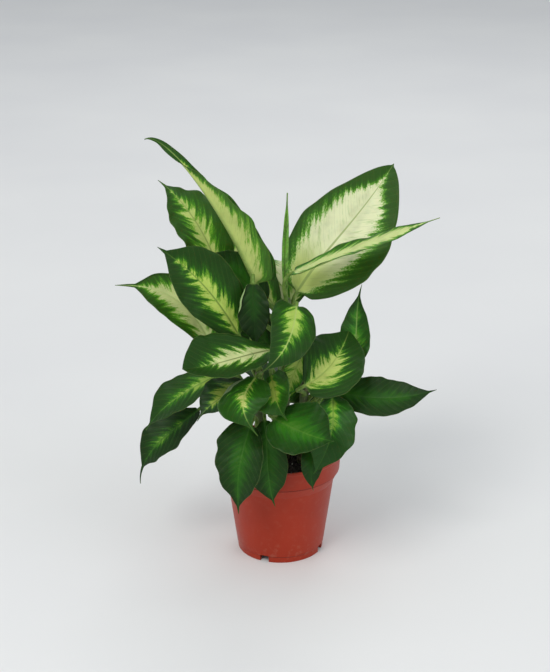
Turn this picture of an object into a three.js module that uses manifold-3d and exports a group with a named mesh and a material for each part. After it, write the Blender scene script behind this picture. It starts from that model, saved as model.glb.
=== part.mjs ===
// A dieffenbachia in a round, terracotta-coloured plastic nursery pot.
// Millimetres, +Z up. The origin is on the ground, on the axis of the pot. -Y is the front.
import * as THREE from "three";
import { mergeVertices } from "three/addons/utils/BufferGeometryUtils.js";
import Module from "manifold-3d";

const wasm = await Module();
wasm.setup();

// Driving dimensions of the pot.
const POT_HEIGHT = 106;
const RIM_RADIUS = 60;
const RIM_BAND_HEIGHT = 20;
const RIM_BAND_TAPER = 1.5;
const SHOULDER_HEIGHT = 10;
const SHOULDER_RADIUS = 53;
const FOOT_RADIUS = 42.4;
const FOOT_STEP_HEIGHT = 6.5;
const FOOT_STEP_DEPTH = 0.7;
const FOOT_RING_WIDTH = 3.4;
const FLOOR_LIFT = 4;
const FLOOR_DISC_RADIUS = 13;
const POT_WALL = 1.8;
const POT_SIDES = 48;
const NOTCH_WIDTH = 9;
const NOTCH_HEIGHT = 7;
const NOTCH_DEPTH = 13;
const NOTCH_REACH = 3;
const NOTCH_COUNT = 4;
const FIRST_NOTCH_DEGREES = -112;

// Driving dimensions of the soil.
const SOIL_LEVEL = 93;
const SOIL_RELIEF = 1.6;
const SOIL_SPOKES = 36;
const SOIL_RINGS = 8;
const SOIL_CLEARANCE = 0.4;

// Driving dimensions that the canes share.
const GAP = 0.3;
const ROOTED_DEPTH = 26;
const CANE_SIDES = 10;
const CANE_JOINT_SPACING = 19;
const CANE_JOINT_SWELL = 1.1;
const CANE_JOINT_HALF_LENGTH = 2.5;

// Driving dimensions that the leaves share.
const BLADE_THICKNESS = 0.7;
const MIDRIB_DEPTH = 1.2;
const SHEATH_RADIUS = 2.6;
const PETIOLE_RADIUS = 1.7;
const PETIOLE_TAPER = 0.6;
const PETIOLE_STEPS = 4;
const PETIOLE_REACH = 0.38;
const PETIOLE_LEAN = 0.6;
const PETIOLE_RISE = 0.8;
const BLADE_STEPS = [0.03, 0.1, 0.2, 0.33, 0.47, 0.61, 0.75, 0.87, 0.96];
const BLADE_COLUMNS = [-1, -0.55, 0, 0.55, 1];
const BODY_FULLNESS = 0.7;
const LOBE_SHARE = 0.1;
const LOBE_FADE = 5;
const TIP_HALF_WIDTH = 0.5;
const END_START = 0.8;
const END_NARROWING = 0.35;
const TAIL_WIDTH_SHARE = 0.1;
const TAIL_BLEND = 0.05;
const USUAL_TAIL = 0.07;
const USUAL_BELLIES = [0.46, 0.46];
const USUAL_OPENING = [0.35, 0.8];
const WAVE_HEIGHT = 1.1;
const WAVES_PER_BLADE = 2.5;
const WAVE_SHIFT = 1.7;

// Each cane: where it leaves the soil, where it bends towards half way up, its tip, and its
// radius at the soil and at the tip.
const CANES = {
  cane_main: { foot: [4, 4], bend: [2, 7], tip: [6, 3, 262], radius: [6, 4.2] },
  cane_left: { foot: [-18, -12], bend: [-23, -14], tip: [-20, -22, 200], radius: [5, 3.6] },
  cane_right: { foot: [20, -8], bend: [23, -9], tip: [22, -16, 196], radius: [5, 3.6] },
  cane_back: { foot: [2, 26], bend: [1, 34], tip: [6, 38, 205], radius: [5, 3.6] },
};

// Each leaf: its cane and the height at which it clasps it, four points along its midrib from
// the petiole to the tip, the way its upper side faces, the blade's greatest width, and how many
// degrees its left and right halves fold up from flat. Some fold differently towards the tip,
// or curl their margins further. The bellies say at what share of the body each half is widest.
const LEAVES = [
  { // upper left, the tallest, still half rolled
    name: "leaf_01", cane: "cane_main", height: 236,
    midrib: [[-22, -2, 276], [-55, -6, 345], [-94, -10, 402], [-124, -14, 421]],
    face: [0.79, 0, 0.61], width: 46, fold: [74, 78], tipFold: [-45, 60], opens: [0.5, 0.74],
    curl: 8, tail: 0.5, tailWidth: 0.36, bellies: [0.46, 0.36],
  },
  { // upper left, behind the rolled one
    name: "leaf_02", cane: "cane_main", height: 214,
    midrib: [[-55, 22, 269], [-74, 27, 318], [-96, 30, 351], [-116, 32, 370]],
    face: [0.5, -0.75, 0.5], width: 56, fold: [10, 24], tipFold: [10, -30], tail: 0.13,
  },
  { // left, broad
    name: "leaf_03", cane: "cane_left", height: 186,
    midrib: [[-39, -12, 228], [-63, -18, 270], [-88, -22, 300], [-114, -25, 322]],
    face: [0.4, -0.78, 0.4], width: 62, fold: [12, 17], tail: 0.09, bellies: [0.5, 0.5],
  },
  { // far left
    name: "leaf_04", cane: "cane_left", height: 165,
    midrib: [[-65, 2, 209], [-93, 5, 254], [-126, 6, 271], [-158, 5, 274]],
    face: [0.3, -0.75, 0.6], width: 46, fold: [10, 30], tail: 0.2, bellies: [0.48, 0.48],
  },
  { // upper right, the broadest and palest
    name: "leaf_05", cane: "cane_main", height: 240,
    midrib: [[15, 8, 265], [43, 17, 303], [74, 27, 339], [107, 36, 385]],
    face: [-0.35, -0.8, 0.45], width: 102, fold: [-15, 2], tail: 0.01, narrowing: 0,
    bellies: [0.44, 0.47],
  },
  { // right, level, pointing out past the broad one
    name: "leaf_06", cane: "cane_main", height: 248,
    midrib: [[11, -14, 293], [53, -26, 314], [96, -38, 336], [143, -50, 358]],
    face: [-0.15, 0, 1], width: 42, fold: [5, 8], tipFold: [5, -12], opens: [0.45, 0.75],
    bellies: [0.4, 0.4],
  },
  { // the rolled spear at the top
    name: "leaf_07", cane: "cane_main", height: 259,
    midrib: [[5, 1, 270], [4, 0, 301], [5, 0, 334], [6, -2, 367]],
    face: [0, -1, 0], width: 11, fold: [58, 58],
  },
  { // centre, pointing at the viewer
    name: "leaf_08", cane: "cane_main", height: 228,
    midrib: [[15, -22, 263], [12, -42, 251], [3, -62, 235], [-18, -80, 219]],
    face: [0.1, -0.55, 0.83], width: 46, fold: [14, 14], bellies: [0.52, 0.3],
  },
  { // left of centre, level
    name: "leaf_09", cane: "cane_main", height: 186,
    midrib: [[-7, -36, 224], [-35, -52, 224], [-64, -68, 222], [-90, -80, 223]],
    face: [0.1, -0.36, 0.93], width: 62, fold: [18, 24], tail: 0, narrowing: 0,
    bellies: [0.52, 0.62],
  },
  { // left, arching down
    name: "leaf_10", cane: "cane_left", height: 150,
    midrib: [[-54, -24, 196], [-78, -32, 187], [-106, -38, 170], [-129, -40, 143]],
    face: [-0.35, -0.4, 0.85], width: 44, fold: [10, 14], tail: 0.08, bellies: [0.55, 0.62],
  },
  { // lowest left, hanging
    name: "leaf_11", cane: "cane_left", height: 122,
    midrib: [[-79, -8, 151], [-102, -14, 134], [-127, -18, 109], [-138, -20, 76]],
    face: [-0.45, -0.65, 0.6], width: 40, fold: [14, 14], tail: 0.18, bellies: [0.56, 0.6],
  },
  { // left of centre, dark, behind the next one
    name: "leaf_12", cane: "cane_left", height: 170,
    midrib: [[-30, -36, 190], [-49, -54, 187], [-65, -64, 180], [-78, -72, 167]],
    face: [-0.2, -0.3, 0.93], width: 44, fold: [10, 20], tail: 0.12,
  },
  { // centre, pointing down
    name: "leaf_13", cane: "cane_left", height: 181,
    midrib: [[-23, -52, 203], [-33, -68, 193], [-34, -82, 180], [-21, -92, 161]],
    face: [0, -0.45, 0.89], width: 50, fold: [12, 12], tail: 0.14, bellies: [0.4, 0.6],
  },
  { // small, centre
    name: "leaf_14", cane: "cane_main", height: 158,
    midrib: [[-9, -44, 202], [-6, -60, 192], [-2, -72, 182], [6, -80, 171]],
    face: [0, -0.45, 0.89], width: 44, fold: [55, 4], tail: 0.14, bellies: [0.42, 0.6],
  },
  { // right of centre, round
    name: "leaf_15", cane: "cane_right", height: 168,
    midrib: [[22, -50, 193], [41, -40, 203], [55, -20, 213], [66, 8, 226]],
    face: [0, -0.7, 0.7], width: 66, fold: [10, 14], tail: 0, bellies: [0.55, 0.42],
  },
  { // right, upright behind the round one
    name: "leaf_16", cane: "cane_right", height: 158,
    midrib: [[68, 0, 199], [73, 10, 218], [74, 16, 241], [78, 18, 270]],
    face: [-0.35, -0.9, 0.2], width: 33, fold: [25, 15], tail: 0.12, bellies: [0.35, 0.35],
  },
  { // far right, level
    name: "leaf_17", cane: "cane_right", height: 126,
    midrib: [[55, -22, 175], [86, -28, 172], [116, -30, 173], [149, -28, 180]],
    face: [0, -0.65, 0.76], width: 42, fold: [8, 8], bellies: [0.42, 0.42],
  },
  { // right, hanging in front
    name: "leaf_18", cane: "cane_right", height: 148,
    midrib: [[49, -42, 181], [49, -66, 169], [45, -80, 149], [31, -80, 116]],
    face: [0.1, -0.93, 0.35], width: 45, fold: [12, 12], tail: 0.04, bellies: [0.5, 0.58],
  },
  { // right, small, over the rim
    name: "leaf_19", cane: "cane_right", height: 114,
    midrib: [[35, -58, 141], [31, -70, 131], [29, -76, 116], [31, -72, 94]],
    face: [0, -1, 0.2], width: 22, fold: [10, 10],
  },
  { // front, low, pointing right
    name: "leaf_20", cane: "cane_right", height: 124,
    midrib: [[-6, -64, 166], [13, -85, 165], [32, -103, 165], [48, -116, 167]],
    face: [-0.05, -0.4, 0.9], width: 60, fold: [28, 0],
  },
  { // front left, hanging over the rim
    name: "leaf_21", cane: "cane_left", height: 114,
    midrib: [[-28, -56, 156], [-36, -74, 135], [-40, -82, 111], [-40, -80, 74]],
    face: [-0.15, -0.95, 0.2], width: 50, fold: [24, 10], bellies: [0.5, 0.36],
  },
  { // front, hanging over the rim
    name: "leaf_22", cane: "cane_main", height: 112,
    midrib: [[-15, -48, 158], [-13, -66, 136], [-11, -74, 107], [-5, -72, 77]],
    face: [0.05, -0.97, 0.2], width: 38, fold: [10, 10], tail: 0.1, bellies: [0.55, 0.55],
  },
  { // left, dark, between two others
    name: "leaf_23", cane: "cane_main", height: 228,
    midrib: [[-18, 12, 251], [-33, 12, 273], [-52, 12, 291], [-70, 10, 306]],
    face: [0.4, -0.85, 0.3], width: 44, fold: [10, 10],
  },
  { // centre left, in the shade
    name: "leaf_24", cane: "cane_left", height: 197,
    midrib: [[-26, -17, 284], [-26, -21, 266], [-25, -24, 246], [-24, -26, 221]],
    face: [-0.1, -0.95, 0.25], width: 32, fold: [10, 10], bellies: [0.5, 0.5],
  },
  { // centre right, small
    name: "leaf_25", cane: "cane_right", height: 186,
    midrib: [[20, -22, 212], [14, -26, 199], [8, -29, 185], [3, -32, 170]],
    face: [0.1, -0.95, 0.3], width: 21, fold: [10, 10],
  },
  { // back right, high
    name: "leaf_26", cane: "cane_back", height: 192,
    midrib: [[10, 42, 240], [36, 60, 280], [68, 82, 300], [100, 104, 300]],
    face: [-0.3, -0.3, 0.9], width: 56, fold: [12, 12],
  },
  { // back left, high
    name: "leaf_27", cane: "cane_back", height: 184,
    midrib: [[-6, 42, 238], [-30, 60, 270], [-56, 78, 292], [-84, 96, 296]],
    face: [0.3, -0.3, 0.9], width: 54, fold: [12, 12],
  },
  { // back, high
    name: "leaf_28", cane: "cane_back", height: 176,
    midrib: [[4, 54, 238], [4, 78, 262], [1, 102, 266], [-4, 126, 250]],
    face: [0, 0, 1], width: 54, fold: [14, 14],
  },
  { // back left, half way up
    name: "leaf_29", cane: "cane_back", height: 160,
    midrib: [[-8, 43, 194], [-42, 58, 219], [-76, 76, 230], [-112, 95, 212]],
    face: [-0.1, -0.5, 0.9], width: 52, fold: [12, 12], bellies: [0.3, 0.3],
  },
  { // back right, half way up
    name: "leaf_30", cane: "cane_back", height: 134,
    midrib: [[14, 42, 160], [34, 66, 180], [52, 90, 176], [68, 112, 150]],
    face: [0.2, 0.3, 0.9], width: 50, fold: [10, 10],
  },
  { // back left, low
    name: "leaf_31", cane: "cane_back", height: 124,
    midrib: [[-12, 44, 150], [-38, 70, 172], [-62, 94, 165], [-84, 112, 135]],
    face: [-0.2, 0.3, 0.9], width: 48, fold: [10, 10],
  },
  { // back, low
    name: "leaf_32", cane: "cane_back", height: 112,
    midrib: [[8, 50, 131], [7, 72, 152], [3, 104, 150], [-2, 130, 118]],
    face: [0, -0.4, 0.9], width: 50, fold: [10, 10], bellies: [0.35, 0.35],
  },
  { // right and back, low
    name: "leaf_33", cane: "cane_right", height: 110,
    midrib: [[32, 10, 134], [54, 30, 152], [78, 46, 152], [102, 58, 138]],
    face: [0.2, 0.2, 0.95], width: 46, fold: [10, 10],
  },
  { // left and back, low
    name: "leaf_34", cane: "cane_left", height: 108,
    midrib: [[-32, 6, 130], [-56, 26, 148], [-84, 40, 146], [-110, 50, 122]],
    face: [-0.2, 0.2, 0.95], width: 44, fold: [10, 10],
  },
];

const { degToRad, lerp, smoothstep } = THREE.MathUtils;
const UP = new THREE.Vector3(0, 0, 1);
const vector = (xyz) => new THREE.Vector3(...xyz);

// A closed geometry as a solid that can be cut and joined.
function solidOf(geometry) {
  const bare = geometry.clone();
  bare.deleteAttribute("normal");
  bare.deleteAttribute("uv");
  const merged = mergeVertices(bare, 1e-4);
  const mesh = new wasm.Mesh({
    numProp: 3,
    vertProperties: new Float32Array(merged.attributes.position.array),
    triVerts: new Uint32Array(merged.index.array),
  });
  return new wasm.Manifold(mesh);
}

// A solid as a geometry that a mesh can hold.
function geometryOf(solid) {
  const mesh = solid.getMesh();
  const geometry = new THREE.BufferGeometry();
  geometry.setAttribute("position", new THREE.BufferAttribute(mesh.vertProperties, 3));
  geometry.setIndex(new THREE.BufferAttribute(mesh.triVerts, 1));
  geometry.computeVertexNormals();
  return geometry;
}

// A body of revolution about Z, from a closed profile of [radius, height] pairs.
function latheSolid(profile, sides) {
  const points = profile.map(([radius, height]) => new THREE.Vector2(radius, height));
  const lathe = new THREE.LatheGeometry(points, sides);
  lathe.rotateX(Math.PI / 2);
  return solidOf(lathe);
}

// A closed skin over rings of equally many points. Each ring is a row of points from left to
// right on the upper side and a row back on the under side, and both sides split their squares
// along the same diagonals.
function loftSolid(rings) {
  const count = rings[0].length;
  const row = count / 2;
  const at = (ring, point) => ring * count + (point % count);
  const triangles = [];
  for (let ring = 0; ring + 1 < rings.length; ring++) {
    for (let point = 0; point < count; point++) {
      const near = [at(ring, point), at(ring, point + 1)];
      const far = [at(ring + 1, point), at(ring + 1, point + 1)];
      if (point < row) triangles.push(near[0], near[1], far[1], near[0], far[1], far[0]);
      else triangles.push(near[0], near[1], far[0], near[1], far[1], far[0]);
    }
  }
  const last = rings.length - 1;
  for (let point = 0; point + 1 < row; point++) {
    const under = count - 1 - point;
    triangles.push(at(0, point), at(0, under), at(0, under - 1));
    triangles.push(at(0, point), at(0, under - 1), at(0, point + 1));
    triangles.push(at(last, point), at(last, under - 1), at(last, under));
    triangles.push(at(last, point), at(last, point + 1), at(last, under - 1));
  }
  const geometry = new THREE.BufferGeometry().setFromPoints(rings.flat());
  geometry.setIndex(triangles);
  return solidOf(geometry);
}

// The pot's inner radius at a height above its floor.
function potInnerRadius(height) {
  const shoulder = POT_HEIGHT - RIM_BAND_HEIGHT - SHOULDER_HEIGHT;
  const band = POT_HEIGHT - RIM_BAND_HEIGHT;
  const foot = FOOT_RADIUS + FOOT_STEP_DEPTH;
  let outer = lerp(foot, SHOULDER_RADIUS, height / shoulder);
  if (height > shoulder) {
    const share = (height - shoulder) / SHOULDER_HEIGHT;
    outer = lerp(SHOULDER_RADIUS, RIM_RADIUS - RIM_BAND_TAPER, share);
  }
  if (height > band) {
    const share = (height - band) / RIM_BAND_HEIGHT;
    outer = lerp(RIM_RADIUS - RIM_BAND_TAPER, RIM_RADIUS, share);
  }
  return outer - POT_WALL;
}

function potSolid() {
  const shoulder = POT_HEIGHT - RIM_BAND_HEIGHT - SHOULDER_HEIGHT;
  const band = POT_HEIGHT - RIM_BAND_HEIGHT;
  const lip = POT_WALL / 2;
  const floorTop = FLOOR_LIFT + POT_WALL;
  const profile = [
    [0, 0],
    [FLOOR_DISC_RADIUS, 0],
    [FLOOR_DISC_RADIUS + 1.5, FLOOR_LIFT],
    [FOOT_RADIUS - FOOT_RING_WIDTH - 1, FLOOR_LIFT],
    [FOOT_RADIUS - FOOT_RING_WIDTH, 0],
    [FOOT_RADIUS, 0],
    [FOOT_RADIUS + 0.3, FOOT_STEP_HEIGHT - 0.4],
    [FOOT_RADIUS + 0.3 + FOOT_STEP_DEPTH, FOOT_STEP_HEIGHT],
    [SHOULDER_RADIUS, shoulder],
    [RIM_RADIUS - RIM_BAND_TAPER - 1.5, band - 1],
    [RIM_RADIUS - RIM_BAND_TAPER, band],
    [RIM_RADIUS - 0.2, POT_HEIGHT - 2],
    [RIM_RADIUS, POT_HEIGHT - 1],
    [RIM_RADIUS - 0.3, POT_HEIGHT - 0.3],
    [RIM_RADIUS - lip, POT_HEIGHT],
    [RIM_RADIUS - POT_WALL, POT_HEIGHT - 0.4],
    [potInnerRadius(band), band],
    [potInnerRadius(shoulder), shoulder],
    [potInnerRadius(floorTop + 2), floorTop + 2],
    [potInnerRadius(floorTop) - 2, floorTop],
    [FLOOR_DISC_RADIUS, floorTop],
    [FLOOR_DISC_RADIUS - 1.8, POT_WALL],
    [0, POT_WALL],
  ];
  const notch = new THREE.BoxGeometry(NOTCH_DEPTH, NOTCH_WIDTH, 2 * NOTCH_HEIGHT);
  notch.translate(FOOT_RADIUS + NOTCH_REACH - NOTCH_DEPTH / 2, 0, 0);
  let pot = latheSolid(profile, POT_SIDES);
  for (let i = 0; i < NOTCH_COUNT; i++) {
    const degrees = FIRST_NOTCH_DEGREES + (i * 360) / NOTCH_COUNT;
    pot = pot.subtract(solidOf(notch.clone().rotateZ(degToRad(degrees))));
  }
  return pot;
}

// The height of the soil's surface, in low irregular mounds that fade out at the wall.
function soilHeight(x, y, edgeShare) {
  const mound = Math.sin(0.21 * x + 1.3) * Math.cos(0.17 * y - 0.4);
  const crumb = 0.5 * Math.sin(0.63 * x - 0.9 * y) + 0.4 * Math.cos(0.8 * x + 0.5 * y + 2);
  return SOIL_LEVEL + SOIL_RELIEF * (mound + crumb) * (1 - 0.7 * edgeShare ** 4);
}

function soilSolid(canes) {
  const floor = FLOOR_LIFT + POT_WALL + GAP;
  const shoulder = POT_HEIGHT - RIM_BAND_HEIGHT - SHOULDER_HEIGHT;
  const band = POT_HEIGHT - RIM_BAND_HEIGHT;
  const rows = [
    [potInnerRadius(floor) - 2 - SOIL_CLEARANCE, floor],
    [potInnerRadius(floor + 2) - SOIL_CLEARANCE, floor + 2],
    [potInnerRadius(shoulder) - SOIL_CLEARANCE, shoulder],
    [potInnerRadius(band) - SOIL_CLEARANCE, band],
  ];
  const top = potInnerRadius(SOIL_LEVEL - 3) - SOIL_CLEARANCE;
  const points = [new THREE.Vector3(0, 0, floor)];
  const addRow = (radius, height) => {
    for (let spoke = 0; spoke < SOIL_SPOKES; spoke++) {
      const angle = (spoke / SOIL_SPOKES) * 2 * Math.PI;
      const x = radius * Math.cos(angle);
      const y = radius * Math.sin(angle);
      points.push(new THREE.Vector3(x, y, height ?? soilHeight(x, y, radius / top)));
    }
  };
  for (const [radius, height] of rows) addRow(radius, height);
  for (let ring = SOIL_RINGS; ring > 0; ring--) addRow((top * ring) / SOIL_RINGS);
  points.push(new THREE.Vector3(0, 0, soilHeight(0, 0, 0)));
  const rowCount = rows.length + SOIL_RINGS;
  const at = (ring, spoke) => 1 + ring * SOIL_SPOKES + (spoke % SOIL_SPOKES);
  const triangles = [];
  for (let spoke = 0; spoke < SOIL_SPOKES; spoke++) {
    triangles.push(0, at(0, spoke + 1), at(0, spoke));
    for (let ring = 0; ring + 1 < rowCount; ring++) {
      triangles.push(at(ring, spoke), at(ring, spoke + 1), at(ring + 1, spoke + 1));
      triangles.push(at(ring, spoke), at(ring + 1, spoke + 1), at(ring + 1, spoke));
    }
    triangles.push(at(rowCount - 1, spoke), at(rowCount - 1, spoke + 1), points.length - 1);
  }
  const geometry = new THREE.BufferGeometry().setFromPoints(points);
  geometry.setIndex(triangles);
  let soil = solidOf(geometry);
  for (const cane of Object.values(canes)) soil = soil.subtract(caneSolid(cane, GAP));
  return soil;
}

// The axis of a cane, whose height grows evenly from its buried foot to its tip.
function caneAxis({ foot, bend, tip }) {
  const bottom = SOIL_LEVEL - ROOTED_DEPTH;
  return new THREE.QuadraticBezierCurve3(
    vector([...foot, bottom]),
    vector([...bend, (bottom + tip[2]) / 2]),
    vector(tip),
  );
}

function caneShareAt(cane, height) {
  const bottom = SOIL_LEVEL - ROOTED_DEPTH;
  return (height - bottom) / (cane.tip[2] - bottom);
}

// A cane with a low swelling at each of its joints, made fatter all over by `extra`.
function caneSolid(cane, extra = 0) {
  const axis = caneAxis(cane);
  const bottom = SOIL_LEVEL - ROOTED_DEPTH;
  const top = cane.tip[2];
  const stops = [[bottom - extra, 1], [top - 2, 1], [top + extra, 0.6]];
  for (let joint = SOIL_LEVEL + 6; joint < top - 8; joint += CANE_JOINT_SPACING) {
    stops.push([joint - CANE_JOINT_HALF_LENGTH, 1]);
    stops.push([joint, CANE_JOINT_SWELL]);
    stops.push([joint + CANE_JOINT_HALF_LENGTH, 1]);
  }
  stops.sort((a, b) => a[0] - b[0]);
  const rings = stops.map(([height, swell]) => {
    const share = caneShareAt(cane, height);
    const centre = axis.getPoint(share);
    const radius = lerp(...cane.radius, share) * swell + extra;
    const ring = [];
    for (let side = 0; side < CANE_SIDES; side++) {
      const angle = Math.PI - ((side + 0.5) / CANE_SIDES) * 2 * Math.PI;
      const x = centre.x + radius * Math.cos(angle);
      const y = centre.y + radius * Math.sin(angle);
      ring.push(new THREE.Vector3(x, y, height));
    }
    return ring;
  });
  return loftSolid(rings.map((ring) => ring.reverse()));
}

// The smooth curve through a leaf's four midrib points.
function midribCurve({ midrib }) {
  const [a, b, c, d] = midrib.map(vector);
  const mix = (p, q, r, s) => a.clone().multiplyScalar(p)
    .addScaledVector(b, q).addScaledVector(c, r).addScaledVector(d, s).divideScalar(6);
  return new THREE.CubicBezierCurve3(a, mix(-5, 18, -9, 2), mix(2, -9, 18, -5), d);
}

// The petiole rises beside its cane, leans out, and runs smoothly into the midrib.
function petioleCurve(leaf, midrib) {
  const cane = CANES[leaf.cane];
  const start = caneAxis(cane).getPoint(caneShareAt(cane, leaf.height));
  const end = midrib.getPoint(0);
  const reach = PETIOLE_REACH * start.distanceTo(end);
  const out = end.clone().sub(start).setZ(0).normalize();
  const leave = out.multiplyScalar(PETIOLE_LEAN).addScaledVector(UP, PETIOLE_RISE);
  const arrive = midrib.getTangent(0);
  return new THREE.CubicBezierCurve3(
    start,
    start.clone().addScaledVector(leave, reach),
    end.clone().addScaledVector(arrive, -reach),
    end,
  );
}

// How wide one side of the blade is at a share of its length, from 0 to 1: round at the base,
// widest at its belly, and drawn out past the end of its body to a fine tail.
function bladeOutline(leaf, share, side) {
  const tail = leaf.tail ?? USUAL_TAIL;
  const along = Math.min(1, share / (1 - tail));
  const skew = Math.log(0.5) / Math.log((leaf.bellies ?? USUAL_BELLIES)[side]);
  const body = Math.max(0, Math.sin(Math.PI * along ** skew)) ** BODY_FULLNESS;
  const narrowing = (leaf.narrowing ?? END_NARROWING) * smoothstep(along, END_START, 1);
  const fade = Math.min(1, (1 - share) / (tail + TAIL_BLEND));
  return Math.hypot(body * (1 - narrowing), (leaf.tailWidth ?? TAIL_WIDTH_SHARE) * fade);
}

// The directions across a leaf at one point: to its right, and out of its upper side.
function crossFrame(tangent, right) {
  const across = right.clone().addScaledVector(tangent, -right.dot(tangent)).normalize();
  return { across, above: across.clone().cross(tangent).normalize() };
}

function petioleRing(curve, share, right) {
  const { across, above } = crossFrame(curve.getTangent(share), right);
  const radius = lerp(SHEATH_RADIUS, PETIOLE_RADIUS, share ** PETIOLE_TAPER);
  const centre = curve.getPoint(share);
  const count = 2 * BLADE_COLUMNS.length;
  const ring = [];
  for (let i = 0; i < count; i++) {
    const angle = Math.PI - ((i + 0.5) / count) * 2 * Math.PI;
    ring.push(centre.clone()
      .addScaledVector(across, radius * Math.cos(angle))
      .addScaledVector(above, radius * Math.sin(angle)));
  }
  return ring;
}

function bladeRing(leaf, curve, share, phase) {
  const tangent = curve.getTangent(share);
  const right = tangent.clone().cross(vector(leaf.face));
  const { across, above } = crossFrame(tangent, right);
  const opening = smoothstep(share, ...(leaf.opens ?? USUAL_OPENING));
  const lobe = LOBE_SHARE * curve.getLength() * (1 - share) ** LOBE_FADE;
  const upper = [];
  const under = [];
  for (const column of BLADE_COLUMNS) {
    const side = column < 0 ? 0 : 1;
    const reach = Math.abs(column);
    const outline = bladeOutline(leaf, share, side);
    const half = Math.max(TIP_HALF_WIDTH, (leaf.width / 2) * outline);
    const fold = lerp(leaf.fold[side], (leaf.tipFold ?? leaf.fold)[side], opening);
    const curl = (leaf.curl ?? 0) * reach;
    const chord = degToRad(fold + curl / 2);
    const slope = degToRad(fold + curl);
    const waves = Math.sin(2 * Math.PI * WAVES_PER_BLADE * share + phase + side);
    const lift = half * reach * Math.sin(chord) + WAVE_HEIGHT * waves * reach ** 2 * outline;
    const point = curve.getPoint(share)
      .addScaledVector(across, Math.sign(column) * half * reach * Math.cos(chord))
      .addScaledVector(above, lift)
      .addScaledVector(tangent, -lobe * outline * reach ** 2);
    upper.push(point);
    const depth = BLADE_THICKNESS + (column === 0 ? MIDRIB_DEPTH * (1 - share) : 0);
    under.unshift(point.clone()
      .addScaledVector(across, column === 0 ? 0 : Math.sign(column) * depth * Math.sin(slope))
      .addScaledVector(above, column === 0 ? -depth : -depth * Math.cos(slope)));
  }
  return [...upper, ...under];
}

// A leaf: its petiole and blade in one, hollowed where it clasps its cane.
function leafSolid(leaf, index) {
  const midrib = midribCurve(leaf);
  const petiole = petioleCurve(leaf, midrib);
  const right = midrib.getTangent(0).cross(vector(leaf.face));
  const rings = [];
  for (let step = 0; step <= PETIOLE_STEPS; step++) {
    rings.push(petioleRing(petiole, step / PETIOLE_STEPS, right));
  }
  const shares = BLADE_STEPS.map((step) => step * (1 - (leaf.tail ?? USUAL_TAIL)));
  shares.push((shares.at(-1) + 1) / 2, 1);
  for (const share of shares) rings.push(bladeRing(leaf, midrib, share, WAVE_SHIFT * index));
  return loftSolid(rings).subtract(caneSolid(CANES[leaf.cane], GAP));
}

function namedMesh(name, solid, material) {
  const mesh = new THREE.Mesh(geometryOf(solid), material);
  mesh.name = name;
  return mesh;
}

function plainMaterial(color, roughness) {
  return new THREE.MeshStandardMaterial({ color, roughness, metalness: 0 });
}

const plant = new THREE.Group();
plant.add(namedMesh("pot", potSolid(), plainMaterial(0xa3402e, 0.45)));
plant.add(namedMesh("soil", soilSolid(CANES), plainMaterial(0x1c1512, 0.95)));
for (const [name, cane] of Object.entries(CANES)) {
  plant.add(namedMesh(name, caneSolid(cane), plainMaterial(0x5d7a35, 0.6)));
}
LEAVES.forEach((leaf, index) => {
  plant.add(namedMesh(leaf.name, leafSolid(leaf, index), plainMaterial(0x2f6b2a, 0.5)));
});

export default plant;
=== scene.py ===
import math
import random

import bmesh
import bpy
import numpy as np
from mathutils import Matrix, Vector, noise


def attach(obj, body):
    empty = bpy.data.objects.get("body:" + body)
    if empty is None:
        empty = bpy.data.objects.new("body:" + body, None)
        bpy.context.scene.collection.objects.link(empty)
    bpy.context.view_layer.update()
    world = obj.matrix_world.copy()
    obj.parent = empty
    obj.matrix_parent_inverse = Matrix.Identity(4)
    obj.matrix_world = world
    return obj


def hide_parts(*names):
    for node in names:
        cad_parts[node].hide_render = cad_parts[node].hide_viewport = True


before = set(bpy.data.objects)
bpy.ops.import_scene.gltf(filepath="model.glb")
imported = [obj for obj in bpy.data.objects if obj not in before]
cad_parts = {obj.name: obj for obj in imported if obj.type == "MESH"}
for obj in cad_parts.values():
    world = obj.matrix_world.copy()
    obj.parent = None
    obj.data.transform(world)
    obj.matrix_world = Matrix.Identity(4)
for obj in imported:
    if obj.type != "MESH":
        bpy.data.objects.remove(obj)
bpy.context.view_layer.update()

MM = 0.001
random.seed(11)

# Lengths are in millimetres unless a comment says otherwise, and colours are sRGB of 0 to 255.
# The pot and the soil, and what canes and leaves share, as in the part's source.
POT_HEIGHT, RIM_RADIUS, RIM_BAND, RIM_TAPER = 106, 60, 20, 1.5
SHOULDER_HEIGHT, SHOULDER_RADIUS, FOOT_RADIUS, FOOT_STEP = 10, 53, 42.4, 6.5
POT_WALL, FLOOR_LIFT, FLOOR_DISC = 1.8, 4, 13
NOTCHES, NOTCH_WIDTH, NOTCH_HEIGHT, NOTCH_DEPTH, FIRST_NOTCH = 4, 9, 7, 13, -112
SOIL_LEVEL, CANE_BOTTOM, CANE_JOINTS, FIRST_JOINT = 93, 67, 19, 6
BAND = POT_HEIGHT - RIM_BAND
SHOULDER = BAND - SHOULDER_HEIGHT
POT_FLOOR = FLOOR_LIFT + POT_WALL
# A stalk leaves its cane outwards and upwards, and bends over this share of its length.
PETIOLE_REACH, PETIOLE_LEAN, PETIOLE_RISE = 0.38, 0.6, 0.8
# A blade's outline and folds where its entry gives none, and how full and blunt it is.
USUAL_TAIL, USUAL_TAIL_WIDTH, USUAL_BELLIES = 0.07, 0.1, (0.46, 0.46)
USUAL_NARROWING, USUAL_OPENS, USUAL_FOLD = 0.35, (0.35, 0.8), (10, 10)
BODY_FULLNESS, NARROWS_FROM, TAIL_BLEND = 0.7, 0.8, 0.05

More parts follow.
